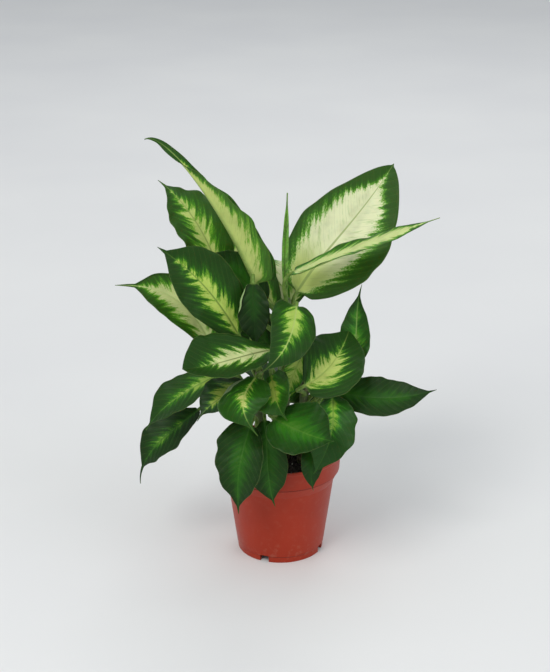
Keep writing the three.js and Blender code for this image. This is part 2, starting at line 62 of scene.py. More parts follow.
CANES = {
    "cane_main": dict(foot=[4, 4], bend=[2, 7], tip=[6, 3, 262], radius=[6, 4.2]),
    "cane_left": dict(foot=[-18, -12], bend=[-23, -14], tip=[-20, -22, 200], radius=[5, 3.6]),
    "cane_right": dict(foot=[20, -8], bend=[23, -9], tip=[22, -16, 196], radius=[5, 3.6]),
    "cane_back": dict(foot=[2, 26], bend=[1, 34], tip=[6, 38, 205], radius=[5, 3.6]),
}
# Each leaf, as in the source: where on which cane it grows, four points of its midrib, where its
# upper side faces, its width, and how many degrees its left and right half are folded up.
LEAVES = [
    dict(name="leaf_01", cane="cane_main", height=236,  # upper left, the tallest, half rolled
         midrib=[[-22, -2, 276], [-55, -6, 345], [-94, -10, 402], [-124, -14, 421]],
         face=[0.79, 0, 0.61], width=46, fold=[74, 78], tipFold=[-45, 60], opens=[0.5, 0.74],
         curl=8, tail=0.5, tailWidth=0.36, bellies=[0.46, 0.36]),
    dict(name="leaf_02", cane="cane_main", height=214,  # upper left, behind the rolled one
         midrib=[[-55, 22, 269], [-74, 27, 318], [-96, 30, 351], [-116, 32, 370]],
         face=[0.5, -0.75, 0.5], width=56, fold=[10, 24], tipFold=[10, -30], tail=0.13),
    dict(name="leaf_03", cane="cane_left", height=186,  # left, broad
         midrib=[[-39, -12, 228], [-63, -18, 270], [-88, -22, 300], [-114, -25, 322]],
         face=[0.4, -0.78, 0.4], width=62, fold=[12, 17], tail=0.09, bellies=[0.5, 0.5]),
    dict(name="leaf_04", cane="cane_left", height=165,  # far left
         midrib=[[-65, 2, 209], [-93, 5, 254], [-126, 6, 271], [-158, 5, 274]],
         face=[0.3, -0.75, 0.6], width=46, fold=[10, 30], tail=0.2, bellies=[0.48, 0.48]),
    dict(name="leaf_05", cane="cane_main", height=240,  # upper right, the broadest and palest
         midrib=[[15, 8, 265], [43, 17, 303], [74, 27, 339], [107, 36, 385]],
         face=[-0.35, -0.8, 0.45], width=102, fold=[-15, 2], tail=0.01, narrowing=0,
         bellies=[0.44, 0.47]),
    dict(name="leaf_06", cane="cane_main", height=248,  # right, level
         midrib=[[11, -14, 293], [53, -26, 314], [96, -38, 336], [143, -50, 358]],
         face=[-0.15, 0, 1], width=42, fold=[5, 8], tipFold=[5, -12], opens=[0.45, 0.75],
         bellies=[0.4, 0.4]),
    dict(name="leaf_07", cane="cane_main", height=259,  # the rolled spear at the top
         midrib=[[5, 1, 270], [4, 0, 301], [5, 0, 334], [6, -2, 367]],
         face=[0, -1, 0], width=11, fold=[58, 58]),
    dict(name="leaf_08", cane="cane_main", height=228,  # centre, pointing at the viewer
         midrib=[[15, -22, 263], [12, -42, 251], [3, -62, 235], [-18, -80, 219]],
         face=[0.1, -0.55, 0.83], width=46, fold=[14, 14], bellies=[0.52, 0.3]),
    dict(name="leaf_09", cane="cane_main", height=186,  # left of centre, level
         midrib=[[-7, -36, 224], [-35, -52, 224], [-64, -68, 222], [-90, -80, 223]],
         face=[0.1, -0.36, 0.93], width=62, fold=[18, 24], tail=0, narrowing=0,
         bellies=[0.52, 0.62]),
    dict(name="leaf_10", cane="cane_left", height=150,  # left, arching down
         midrib=[[-54, -24, 196], [-78, -32, 187], [-106, -38, 170], [-129, -40, 143]],
         face=[-0.35, -0.4, 0.85], width=44, fold=[10, 14], tail=0.08, bellies=[0.55, 0.62]),
    dict(name="leaf_11", cane="cane_left", height=122,  # lowest left, hanging
         midrib=[[-79, -8, 151], [-102, -14, 134], [-127, -18, 109], [-138, -20, 76]],
         face=[-0.45, -0.65, 0.6], width=40, fold=[14, 14], tail=0.18, bellies=[0.56, 0.6]),
    dict(name="leaf_12", cane="cane_left", height=170,  # left of centre, dark
         midrib=[[-30, -36, 190], [-49, -54, 187], [-65, -64, 180], [-78, -72, 167]],
         face=[-0.2, -0.3, 0.93], width=44, fold=[10, 20], tail=0.12),
    dict(name="leaf_13", cane="cane_left", height=181,  # centre, pointing down
         midrib=[[-23, -52, 203], [-33, -68, 193], [-34, -82, 180], [-21, -92, 161]],
         face=[0, -0.45, 0.89], width=50, fold=[12, 12], tail=0.14, bellies=[0.4, 0.6]),
    dict(name="leaf_14", cane="cane_main", height=158,  # small, centre
         midrib=[[-9, -44, 202], [-6, -60, 192], [-2, -72, 182], [6, -80, 171]],
         face=[0, -0.45, 0.89], width=44, fold=[55, 4], tail=0.14, bellies=[0.42, 0.6]),
    dict(name="leaf_15", cane="cane_right", height=168,  # right of centre, round
         midrib=[[22, -50, 193], [41, -40, 203], [55, -20, 213], [66, 8, 226]],
         face=[0, -0.7, 0.7], width=66, fold=[10, 14], tail=0, bellies=[0.55, 0.42]),
    dict(name="leaf_16", cane="cane_right", height=158,  # right, upright
         midrib=[[68, 0, 199], [73, 10, 218], [74, 16, 241], [78, 18, 270]],
         face=[-0.35, -0.9, 0.2], width=33, fold=[25, 15], tail=0.12, bellies=[0.35, 0.35]),
    dict(name="leaf_17", cane="cane_right", height=126,  # far right, level
         midrib=[[55, -22, 175], [86, -28, 172], [116, -30, 173], [149, -28, 180]],
         face=[0, -0.65, 0.76], width=42, fold=[8, 8], bellies=[0.42, 0.42]),
    dict(name="leaf_18", cane="cane_right", height=148,  # right, hanging in front
         midrib=[[49, -42, 181], [49, -66, 169], [45, -80, 149], [31, -80, 116]],
         face=[0.1, -0.93, 0.35], width=45, fold=[12, 12], tail=0.04, bellies=[0.5, 0.58]),
    dict(name="leaf_19", cane="cane_right", height=114,  # right, small, over the rim
         midrib=[[35, -58, 141], [31, -70, 131], [29, -76, 116], [31, -72, 94]],
         face=[0, -1, 0.2], width=22),
    dict(name="leaf_20", cane="cane_right", height=124,  # front, low, pointing right
         midrib=[[-6, -64, 166], [13, -85, 165], [32, -103, 165], [48, -116, 167]],
         face=[-0.05, -0.4, 0.9], width=60, fold=[28, 0]),
    dict(name="leaf_21", cane="cane_left", height=114,  # front left, over the rim
         midrib=[[-28, -56, 156], [-36, -74, 135], [-40, -82, 111], [-40, -80, 74]],
         face=[-0.15, -0.95, 0.2], width=50, fold=[24, 10], bellies=[0.5, 0.36]),
    dict(name="leaf_22", cane="cane_main", height=112,  # front, over the rim
         midrib=[[-15, -48, 158], [-13, -66, 136], [-11, -74, 107], [-5, -72, 77]],
         face=[0.05, -0.97, 0.2], width=38, tail=0.1, bellies=[0.55, 0.55]),
    dict(name="leaf_23", cane="cane_main", height=228,  # left, dark
         midrib=[[-18, 12, 251], [-33, 12, 273], [-52, 12, 291], [-70, 10, 306]],
         face=[0.4, -0.85, 0.3], width=44),
    dict(name="leaf_24", cane="cane_left", height=197,  # centre left, in the shade
         midrib=[[-26, -17, 284], [-26, -21, 266], [-25, -24, 246], [-24, -26, 221]],
         face=[-0.1, -0.95, 0.25], width=32, bellies=[0.5, 0.5]),
    dict(name="leaf_25", cane="cane_right", height=186,  # centre right, small
         midrib=[[20, -22, 212], [14, -26, 199], [8, -29, 185], [3, -32, 170]],
         face=[0.1, -0.95, 0.3], width=21),
    dict(name="leaf_26", cane="cane_back", height=192,  # back right, high
         midrib=[[10, 42, 240], [36, 60, 280], [68, 82, 300], [100, 104, 300]],
         face=[-0.3, -0.3, 0.9], width=56, fold=[12, 12]),
    dict(name="leaf_27", cane="cane_back", height=184,  # back left, high
         midrib=[[-6, 42, 238], [-30, 60, 270], [-56, 78, 292], [-84, 96, 296]],
         face=[0.3, -0.3, 0.9], width=54, fold=[12, 12]),
    dict(name="leaf_28", cane="cane_back", height=176,  # back, high
         midrib=[[4, 54, 238], [4, 78, 262], [1, 102, 266], [-4, 126, 250]],
         face=[0, 0, 1], width=54, fold=[14, 14]),
    dict(name="leaf_29", cane="cane_back", height=160,  # back left, half way up
         midrib=[[-8, 43, 194], [-42, 58, 219], [-76, 76, 230], [-112, 95, 212]],
         face=[-0.1, -0.5, 0.9], width=52, fold=[12, 12], bellies=[0.3, 0.3]),
    dict(name="leaf_30", cane="cane_back", height=134,  # back right, half way up
         midrib=[[14, 42, 160], [34, 66, 180], [52, 90, 176], [68, 112, 150]],
         face=[0.2, 0.3, 0.9], width=50),
    dict(name="leaf_31", cane="cane_back", height=124,  # back left, low
         midrib=[[-12, 44, 150], [-38, 70, 172], [-62, 94, 165], [-84, 112, 135]],
         face=[-0.2, 0.3, 0.9], width=48),
    dict(name="leaf_32", cane="cane_back", height=112,  # back, low
         midrib=[[8, 50, 131], [7, 72, 152], [3, 104, 150], [-2, 130, 118]],
         face=[0, -0.4, 0.9], width=50, bellies=[0.35, 0.35]),
    dict(name="leaf_33", cane="cane_right", height=110,  # right and back, low
         midrib=[[32, 10, 134], [54, 30, 152], [78, 46, 152], [102, 58, 138]],
         face=[0.2, 0.2, 0.95], width=46),
    dict(name="leaf_34", cane="cane_left", height=108,  # left and back, low
         midrib=[[-32, 6, 130], [-56, 26, 148], [-84, 40, 146], [-110, 50, 122]],
         face=[-0.2, 0.2, 0.95], width=44),
]

# How each blade is marked: the pale zone's greatest reach to the left and right, its start and
# end, as shares of the blade, and the colours of the zone, the green around it and the midrib.
OLIVE = (120, 146, 72)
LEAF_GREEN, DEEP_GREEN, DARK_GREEN = (50, 98, 20), (34, 78, 13), (25, 62, 10)
LOOKS = {
    "leaf_01": (0.68, 0.68, -0.2, 0.72, (212, 224, 132), (46, 94, 22), (186, 204, 120)),
    "leaf_02": (0.36, 0.31, -0.1, 0.88, (198, 216, 122), LEAF_GREEN, (140, 162, 84)),
    "leaf_03": (0.35, 0.35, -0.1, 0.84, (188, 212, 100), DEEP_GREEN, (104, 136, 58)),
    "leaf_04": (0.58, 0.58, -0.1, 0.88, (212, 224, 152), LEAF_GREEN, (190, 208, 136)),
    "leaf_05": (0.69, 0.6, -0.3, 0.98, (226, 231, 186), LEAF_GREEN, (138, 160, 88)),
    "leaf_06": (0.72, 0.72, -0.1, 1.02, (210, 224, 148), LEAF_GREEN, (196, 212, 136)),
    "leaf_07": (0.35, 0.35, -0.1, 0.95, (146, 174, 100), (98, 138, 66), (150, 176, 108)),
    "leaf_08": (0.44, 0.44, 0.0, 0.82, (178, 206, 98), DEEP_GREEN, (176, 196, 112)),
    "leaf_09": (0.42, 0.5, -0.1, 0.82, (212, 222, 156), DEEP_GREEN, (92, 110, 50)),
    "leaf_10": (0.36, 0.42, 0.0, 0.74, (156, 190, 80), DEEP_GREEN, (110, 146, 60)),
    "leaf_11": (0.2, 0.2, 0.3, 0.76, (114, 160, 56), DARK_GREEN, (62, 104, 38)),
    "leaf_12": (0.5, 0.5, 0.0, 0.84, (166, 188, 86), (34, 68, 26), OLIVE),
    "leaf_13": (0.4, 0.4, 0.25, 0.74, (214, 220, 128), (42, 94, 18), (180, 200, 104)),
    "leaf_14": (0.4, 0.62, 0.25, 0.66, (164, 186, 78), (42, 92, 18), (150, 172, 74)),
    "leaf_15": (0.42, 0.5, 0.05, 0.88, (194, 212, 112), DEEP_GREEN, (160, 184, 90)),
    "leaf_16": (0.18, 0.18, -0.1, 0.84, (130, 172, 84), (44, 92, 28), (140, 172, 92)),
    "leaf_17": (0.1, 0.1, 0.0, 0.8, (66, 112, 36), DARK_GREEN, (58, 98, 36)),
    "leaf_18": (0.32, 0.32, 0.0, 0.62, (154, 192, 74), (40, 92, 24), (118, 160, 62)),
    "leaf_19": (0.1, 0.1, 0.0, 0.6, (58, 102, 32), DARK_GREEN, (46, 84, 28)),
    "leaf_20": (0.3, 0.3, 0.0, 0.86, (74, 128, 36), (30, 76, 12), (86, 134, 46)),
    "leaf_21": (0.2, 0.2, 0.1, 0.92, (60, 112, 30), DARK_GREEN, (64, 112, 36)),
    "leaf_22": (0.2, 0.2, 0.1, 0.94, (62, 112, 32), DARK_GREEN, (70, 118, 42)),
    "leaf_23": (0.12, 0.12, 0.0, 0.7, (66, 112, 34), (30, 70, 14), (54, 94, 30)),
    # This leaf is dark green, and its colours are darker still as painted shade of the plant's
    # shaded inside, where it hangs.
    "leaf_24": (0.12, 0.12, 0.0, 0.6, (44, 80, 20), (20, 50, 8), (36, 66, 20)),
    "leaf_25": (0.85, 0.85, -0.1, 1.0, (184, 208, 104), (40, 90, 22), (150, 182, 84)),
    "leaf_26": (0.48, 0.48, -0.1, 0.88, (206, 220, 146), LEAF_GREEN, OLIVE),
    "leaf_27": (0.42, 0.42, -0.1, 0.86, (196, 214, 124), LEAF_GREEN, OLIVE),
    "leaf_28": (0.5, 0.5, -0.1, 0.9, (218, 226, 172), LEAF_GREEN, OLIVE),
    "leaf_29": (0.16, 0.16, 0.0, 0.7, (60, 104, 34), DARK_GREEN, (54, 94, 30)),
    "leaf_30": (0.34, 0.34, 0.0, 0.8, (158, 194, 74), DEEP_GREEN, OLIVE),
    "leaf_31": (0.3, 0.3, 0.0, 0.78, (146, 184, 70), DEEP_GREEN, OLIVE),
    "leaf_32": (0.24, 0.24, 0.0, 0.74, (126, 170, 60), DARK_GREEN, OLIVE),
    "leaf_33": (0.22, 0.22, 0.0, 0.74, (114, 160, 56), DARK_GREEN, OLIVE),
    "leaf_34": (0.2, 0.2, 0.0, 0.72, (108, 154, 54), DARK_GREEN, OLIVE),
}
# Blades whose margins roll over: by how many degrees on the left and right, from which share
# of the half width, and between which shares of the blade's length.
NO_ROLL = (0, 0, 1, 0, 1)
ROLLS = {
    "leaf_13": (0, 175, 0.6, 0.0, 0.62),
    "leaf_24": (0, 160, 0.72, 0.0, 0.62),
    "leaf_21": (30, 14, 0.8, 0.1, 1.1),
    "leaf_04": (0, 60, 0.8, 0.0, 1.0),
    "leaf_06": (30, 0, 0.75, -0.2, 0.6),
}
# Rolled margins on the right that show a paler strip: from and to which shares of the blade's
# width and length, and its colour.
PALE_MARGINS = {
    "leaf_13": (0.78, 0.84, -0.1, 0.6, (118, 138, 98)),
    "leaf_24": (0.8, 0.84, 0.0, 0.62, (150, 176, 118)),
}
# The blades whose markings are blurred.
BLURRED = ("leaf_17", "leaf_19", "leaf_20", "leaf_21", "leaf_22", "leaf_23", "leaf_24")
# By what share of the half width the left and right margins are scalloped.
USUAL_SCALLOPS = (0.014, 0.014)
SCALLOPS = {
    "leaf_01": (0.1, 0.02), "leaf_02": (0.01, 0.1), "leaf_18": (0.05, 0.02),
    "leaf_21": (0.02, 0.05), "leaf_11": (0.05, 0.03),
}
# How strongly some margins wave, where others wave by 1.
WAVES = {"leaf_01": 1.5, "leaf_02": 2.6, "leaf_05": 0.8, "leaf_18": 1.8, "leaf_21": 1.5,
         "leaf_11": 1.6}

# Blades have this many columns from margin to margin and rows from base to tip, of which the
# first few lie closer together, and stalks have this many rows.
COLUMNS, BLADE_ROWS, STALK_ROWS = 31, 92, 22
BASE_ROWS, BASE_SHARE = 7, 0.06
MIDDLE = COLUMNS // 2
# Where each column lies, as a share of the half width, with the left below 0.
EVEN = np.linspace(-1, 1, COLUMNS)
REACH = np.sign(EVEN) * np.abs(EVEN) ** 1.5
ON_RIGHT = (EVEN > 0).astype(float)

# A stalk thins towards its blade and clasps its cane with a wider foot. The blade grows out of
# its neck over this share of the blade's length.
STALK_RADIUS, STALK_THINNING, STALK_FOOT, NECK_RADIUS, NECK_SHARE = 2.6, 0.9, 1.0, 1.7, 0.05
# The blade's thickness at the midrib, what it loses towards the margins, the ridge under the
# midrib at the base and at the tip, and the least half width.
THICKNESS, MARGIN_THINNING, RIDGE_BASE, RIDGE_TIP, LEAST_HALF_WIDTH = 0.5, 0.22, 2.5, 0.25, 0.12
# Its relief: waved and ruffled margins, puffed panels between the veins and a groove along the
# midrib. Its base lies back in lobes by a share of its length.
WAVE_HEIGHT, RUFFLE_HEIGHT, PUFF_HEIGHT, LOBE_SHARE = 1.1, 0.45, 0.3, 0.1
GROOVE_DEPTH, GROOVE_WIDTH = 0.45, 1.1
# Its side veins, which lean and bend towards the tip. Blades with a greater half width than the
# last value have straighter ones.
VEIN_SPACING, VEIN_DEPTH, VEIN_LEAN, VEIN_BEND, STRAIGHT_VEINS_FROM = 8.5, 0.4, 0.75, 0.022, 33
# What 1 stands for on the map of the veins, and the fine lines to a side vein.
VEIN_MAP, HAIRS_PER_VEIN = 100, 5
# How far the veins' own waves, and fine, broad and speckled streaks, shift the edge of the pale
# zone on a blade of this half width. The blade above the last half width has streaks of its own.
STREAKS, BROADEST_STREAKS = (-1.5, 26, 32, 15), (-1.5, 11, 22, 26)
FULL_SPREAD_AT, BROADEST_FROM = 49, 50

POT_SIDES, SOIL_SIDES, SOIL_RINGS, CANE_SIDES, CANE_STEP = 160, 200, 72, 40, 0.9
CRUMBS, PERLITE_EVERY = 900, 60


def new_object(name, data):
    made = bpy.data.objects.new(name, data)
    bpy.context.scene.collection.objects.link(made)
    return made


def new_piece(name, verts, faces, node):
    """A smooth mesh from points in millimetres that takes a node's place on the plant's body."""
    mesh = bpy.data.meshes.new(name)
    mesh.from_pydata((np.asarray(verts) * MM).tolist(), [], faces)
    mesh.update()
    mesh.shade_smooth()
    piece = new_object(name, mesh)
    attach(piece, "root")
    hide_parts(node)
    return piece


def add_maps(piece, maps):
    """Stores pairs of values at the vertices as the mesh's own texture maps."""
    corners = np.empty(len(piece.data.loops), dtype=int)
    piece.data.loops.foreach_get("vertex_index", corners)
    for key, (first, second) in maps.items():
        layer = piece.data.uv_layers.new(name=key)
        values = np.stack([first[corners], second[corners]], axis=-1)
        layer.data.foreach_set("uv", values.astype(np.float32).ravel())


def tube_faces(rows, count, closed=False):
    """Quads between rings of points, and between the last and the first ring if closed."""
    order = np.arange(rows * count).reshape(rows, count)
    if closed:
        order = np.vstack([order, order[:1]])
    after = np.roll(order, -1, axis=1)
    quads = np.stack([order[:-1], after[:-1], after[1:], order[1:]], axis=-1)
    return quads.reshape(-1, 4).tolist()


def unit(v):
    return v / np.linalg.norm(v, axis=-1, keepdims=True)


def smooth(x, low, high):
    t = np.clip((x - low) / (high - low), 0, 1)
    return t * t * (3 - 2 * t)


# ---- materials

LEAF_EDGE, LEAF_UNDER, LEAF_BASE = (120, 148, 78), (150, 176, 90), (188, 208, 104)
# The last colour is painted shade, for dark blotches near the rim under the leaves.
SCUFF, DUST, RIM_SHADE_BLOTCH = (184, 78, 50), (176, 120, 98), (96, 36, 26)
# The first two colours are painted shade, for thin dark lines in the creases at the rim band and at
# the foot.
RIM_CREASE_SHADE, FOOT_CREASE_SHADE, FIBRE = (84, 26, 16), (96, 28, 16), (84, 62, 44)
CANE_CORK, CANE_RING, CANE_EARTH = (104, 100, 62), (128, 112, 76), (52, 42, 28)
# Colours along a noise, as pairs of a place and a colour.
STALK_GREENS = (0.3, (78, 112, 40)), (0.7, (128, 156, 78))
TERRACOTTAS = (0.25, (154, 43, 18)), (0.75, (166, 50, 24))
PEATS = (0.3, (14, 11, 9)), (0.55, (34, 26, 21)), (0.8, (64, 48, 36))
PERLITES = (0.3, (150, 146, 138)), (0.7, (206, 203, 196))
CANE_GREENS = (0.3, (58, 76, 36)), (0.7, (96, 118, 58))
PAPERS = (0.3, (229, 230, 230)), (0.7, (233, 234, 233))


def rgb(color):
    """An sRGB colour of 0 to 255 as a linear one."""
    shares = [c / 255 for c in color]
    return (*(c / 12.92 if c <= 0.04045 else ((c + 0.055) / 1.055) ** 2.4 for c in shares), 1.0)


def shade(color, amount):
    return tuple(min(255, c * amount) for c in color)


class Value:
    """What comes out of a node. Sums and products of values and numbers are nodes too."""

    def __init__(self, look, socket):
        self.look, self.socket = look, socket

    def math(self, operation, *others):
        return self.look.node("Math", enumerate([self, *others]), operation=operation)

    def __add__(self, other):
        return self.math("ADD", other)

    def __sub__(self, other):
        return self.math("SUBTRACT", other)

    def __mul__(self, other):
        return self.math("MULTIPLY", other)

    def __abs__(self):
        return self.math("ABSOLUTE")

    def cosine(self):
        return self.math("COSINE")

    def step(self, low, high, first=0.0, last=1.0):
        """Goes smoothly from first to last as the value goes from low to high."""
        return self.look.node("MapRange", enumerate([self, low, high, first, last]),
                              interpolation_type="SMOOTHSTEP")

    def ramp(self, *stops):
        """Colours along the value, given as pairs of a place and a colour."""
        made = self.look.node("ValToRGB", {0: self})
        elements = made.socket.node.color_ramp.elements
        while len(elements) < len(stops):
            elements.new(0.5)
        for element, (place, color) in zip(elements, stops):
            element.position, element.color = place, rgb(color)
        return made

    def coat(self, share, tint):
        """This colour under a share of another one."""
        tint = tint if isinstance(tint, Value) else rgb(tint)
        return self.look.node("Mix", {0: share, 6: self, 7: tint}, out=2, data_type="RGBA")

    def bump(self, depth, under=None):
        """The normal of a surface that the value raises by up to a depth in metres."""
        values = {"Height": self, "Distance": depth, "Strength": 1.0}
        return self.look.node("Bump", values if under is None else {**values, "Normal": under})


class Look:
    """A procedural material under construction."""

    def __init__(self, name):
        self.material = bpy.data.materials.new(name)
        self.material.use_nodes = True
        self.tree = self.material.node_tree

    def put(self, socket, value):
        if isinstance(value, Value):
            self.tree.links.new(value.socket, socket)
        else:
            socket.default_value = value

    def node(self, kind, values=(), out=0, **settings):
        made = self.tree.nodes.new("ShaderNode" + kind)
        for key, value in settings.items():
            setattr(made, key, value)
        for place, value in dict(values).items():
            self.put(made.inputs[place], value)
        return Value(self, made.outputs[out])

    def place(self, scales=(1.0, 1.0, 1.0)):
        """The place in the object's own space, with a scale for each axis."""
        return self.node("Mapping", {0: self.node("TexCoord", out="Object"), 3: scales})

    def axes(self, uv_map):
        """The two coordinates of one of the mesh's own maps."""
        place = self.node("UVMap", uv_map=uv_map)
        return [self.node("SeparateXYZ", {0: place}, out=axis) for axis in (0, 1)]

    def noise(self, place, scale, detail=2.0, roughness=0.5):
        return self.node("TexNoise", {"Vector": place, "Scale": scale, "Detail": detail,
                                      "Roughness": roughness})

    def finish(self, color, roughness, normal=None, **constants):
        """The material, with the constants on the shader's own sockets."""
        sockets = self.tree.nodes["Principled BSDF"].inputs
        self.put(sockets["Base Color"], color)
        self.put(sockets["Roughness"], roughness)
        if normal is not None:
            self.put(sockets["Normal"], normal)
        for key, value in constants.items():
            sockets[key.replace("_", " ")].default_value = value
        return self.material


def leaf_material(leaf, index):
    """Pale feathers that run out from the midrib along the side veins into the green."""
    name, half_width = leaf["name"], leaf["width"] / 2
    *reaches, start, end, pale, green, rib = LOOKS[name]
    blurred, broadest = name in BLURRED, half_width > BROADEST_FROM
    look = Look(name)
    along, across = look.axes("blade")
    vein, away = look.axes("veins")
    under, stalk = look.axes("parts")
    side, off = abs(across * 2.0 - 1.0), abs(away - 0.5)
    wave, hairs = ((vein * (2 * math.pi * number * VEIN_MAP / VEIN_SPACING)).cosine()
                   for number in (1, HAIRS_PER_VEIN))

    def streaks(per_vein, per_away, shift, detail):
        """Noise drawn out along the side veins, about 0."""
        place = [vein * per_vein, away * per_away, 3.7 * index + shift]
        return look.noise(look.node("CombineXYZ", enumerate(place)), 1.0, detail, 0.6) - 0.5

    fine, broad = streaks(58.0, 15.0, 0, 3.0), streaks(17.0, 5.0, 5, 1.0)
    specks = streaks(120.0, 75.0, 9, 2.0)
    # How far a point lies outside the pale zone, in millimetres.
    fall = 0.3 if max(reaches) > 0.6 else 0.55
    swell = along.step(start, start + 0.2, 0.45, 1.0) * along.step(end - fall, end, 1.0, 0.08)
    zone = swell * across.step(0.48, 0.52, *reaches) - along.step(end - 0.12, end + 0.12, 0.0, 0.5)
    outside = (side - zone) * half_width
    spread = (0.2 if blurred else 0.45) + 0.55 * half_width / FULL_SPREAD_AT
    amounts = BROADEST_STREAKS if broadest else STREAKS
    for value, amount in zip((wave, fine, broad, specks), amounts):
        outside = value * (amount * spread) + outside
    # The zone, a lime edge and the green beyond, all of them uneven.
    lime = tuple((p + g) / 2 * k for p, g, k in zip(pale, green, (0.94, 1.1, 0.66)))
    color = (outside * (0.028 if blurred else 0.045) + 0.4).ramp(
        (0.0, pale), (0.16, pale), (0.33, lime), (0.46, shade(green, 1.4)), (0.64, green),
        (1.0, shade(green, 0.82)))
    mottle = (broad + fine).step(0.02, 0.3, 0.0, 0.4) * outside.step(-6.0, 3.0, 1.0, 0.0)
    color = color.coat(mottle * side.step(0.0, 0.25), shade(lime, 0.9))
    blotch = look.noise(look.place(), 70.0, 3.0).step(0.35, 0.75, 0.0, 0.2)
    color = color.coat(blotch, shade(green, 0.7))
    if broadest:
        base = along.step(0.12, 0.42, 0.85, 0.0) * outside.step(-8.0, 0.0, 1.0, 0.0)
        color = color.coat(base, LEAF_BASE)
    # Side veins, olive in the pale zone and fine and lighter in the green, and the midrib.
    lines = wave.step(0.9, 1.0) * off.step(0.01, 0.05) * outside.step(-4.0, 2.0, 0.14, 0.1)
    color = color.coat(lines, shade(OLIVE, 0.85))
    color = color.coat(hairs.step(0.2, 1.0, 0.0, 0.05), shade(green, 1.6))
    width = along.step(0.0, 1.0, 0.012 if broadest else 0.006, 0.001)
    fading = along.step(end - 0.2, end + 0.15, 0.4 if blurred else 0.75, 0.1)
    color = color.coat(off.step(width, width + 0.006, 1.0, 0.0) * fading, rib)
    # The margins, the duller underside, a paler rolled margin, and the stalk.
    color = color.coat(side.step(0.97, 1.0, 0.0, 0.3), LEAF_EDGE)
    color = color.coat(under * 0.28, tuple(0.6 * g + 0.4 * u for g, u in zip(green, LEAF_UNDER)))
    if name in PALE_MARGINS:
        low, high, first, last, tint = PALE_MARGINS[name]
        strip = along.step(first, first + 0.08) * along.step(last - 0.12, last, 1.0, 0.0)
        color = color.coat(across.step(low, high) * strip * under, tint)
    color = color.coat(stalk, look.noise(look.place(), 160.0).ramp(*STALK_GREENS))
    # Fine cells and a soft, uneven gloss.
    cells = look.node("TexVoronoi", {"Vector": look.place(), "Scale": 1500.0})
    grain = look.noise(look.place(), 900.0, 3.0)
    normal = hairs.bump(0.00003, grain.bump(0.0001, cells.bump(0.00005)))
    rough = grain.step(0.2, 0.8, 0.36, 0.48) + under * 0.12
    return look.finish(color, rough, normal, Specular_IOR_Level=0.18,
                       Subsurface_Weight=0.05, Subsurface_Scale=0.002)


def pot_material():
    """Moulded plastic, scuffed and dusty, with painted shade in blotches at the rim and in its
    creases.
    """
    look = Look("pot_plastic")
    place = look.place()
    height = look.node("SeparateXYZ", {0: place}, out=2)
    cloud, grain = look.noise(place, 26.0, 3.0), look.noise(place, 1400.0)
    scuff = look.noise(look.place((40.0, 40.0, 900.0)), 1.0, 4.0, 0.7)
    color = cloud.ramp(*TERRACOTTAS).coat(scuff.step(0.62, 0.8, 0.0, 0.2), SCUFF)
    dust = look.noise(place, 190.0, 4.0).step(0.5, 0.75, 0.0, 0.3)
    color = color.coat(dust * height.step(0.004, 0.03, 1.0, 0.25), DUST)
    # Painted shade: dark blotches near the rim, under the leaves.
    rim_shade_blotches = look.noise(place, 60.0).step(0.5, 0.7, 0.0, 0.25)
    color = color.coat(rim_shade_blotches * height.step(0.088, 0.1), RIM_SHADE_BLOTCH)
    # Painted shade: thin dark lines in the creases at the rim band and at the foot.
    rim, foot = abs(height - BAND * MM), abs(height - (FOOT_STEP - 0.3) * MM)
    color = color.coat(rim.step(0.0003, 0.0011, 0.6, 0.0), RIM_CREASE_SHADE)
    color = color.coat(foot.step(0.0002, 0.0009, 0.5, 0.0), FOOT_CREASE_SHADE)
    return look.finish(color, cloud.step(0.2, 0.8, 0.34, 0.46),
                       scuff.bump(0.00004, grain.bump(0.00006)), Specular_IOR_Level=0.26)


def soil_material():
    look = Look("soil_peat")
    lump = look.noise(look.place(), 240.0, 5.0, 0.7)
    fibre = look.noise(look.place((300.0, 900.0, 300.0)), 1.0, 3.0)
    color = lump.ramp(*PEATS).coat(fibre.step(0.62, 0.75, 0.0, 0.5), FIBRE)
    return look.finish(color, lump.step(0.3, 0.7, 0.95, 0.75), lump.bump(0.0009),
                       Specular_IOR_Level=0.25)


def perlite_material():
    look = Look("perlite")
    speck = look.noise(look.place(), 900.0, 3.0)
    return look.finish(speck.ramp(*PERLITES), speck.step(0.3, 0.7, 0.9, 0.7), speck.bump(0.0002))


def cane_material():
    """Green skin with corky blotches, a pale line in each ring, and earth over its foot."""
    look = Look("cane_skin")
    joint, height = look.axes("cane")
    streak = look.noise(look.place((700.0, 700.0, 60.0)), 1.0, 4.0)
    cork = look.noise(look.place(), 120.0, 3.0).step(0.45, 0.7, 0.0, 0.6)
    ring = (joint * (2 * math.pi)).cosine().step(0.86, 0.99)
    color = streak.ramp(*CANE_GREENS).coat(cork, CANE_CORK).coat(ring * 0.7, CANE_RING)
    color = color.coat(height.step(0.0, 0.25, 0.75, 0.0), CANE_EARTH)
    return look.finish(color, streak.step(0.3, 0.7, 0.62, 0.42), streak.bump(0.0002))


def floor_material():
    look = Look("floor_paper")
    speck = look.noise(look.place(), 3.0)
    return look.finish(speck.ramp(*PAPERS), speck.step(0.3, 0.7, 0.75, 0.85),
                       Specular_IOR_Level=0.2)


# ---- leaves

def bezier(points, t):
    """The points and directions of a cubic Bezier curve at the shares t."""
    a, b, c, d = points
    t = t[:, None]
    m = 1 - t
    places = m ** 3 * a + 3 * m * m * t * b + 3 * m * t * t * c + t ** 3 * d
    ways = m * m * (b - a) + 2 * m * t * (c - b) + t * t * (d - c)
    return places, unit(ways)


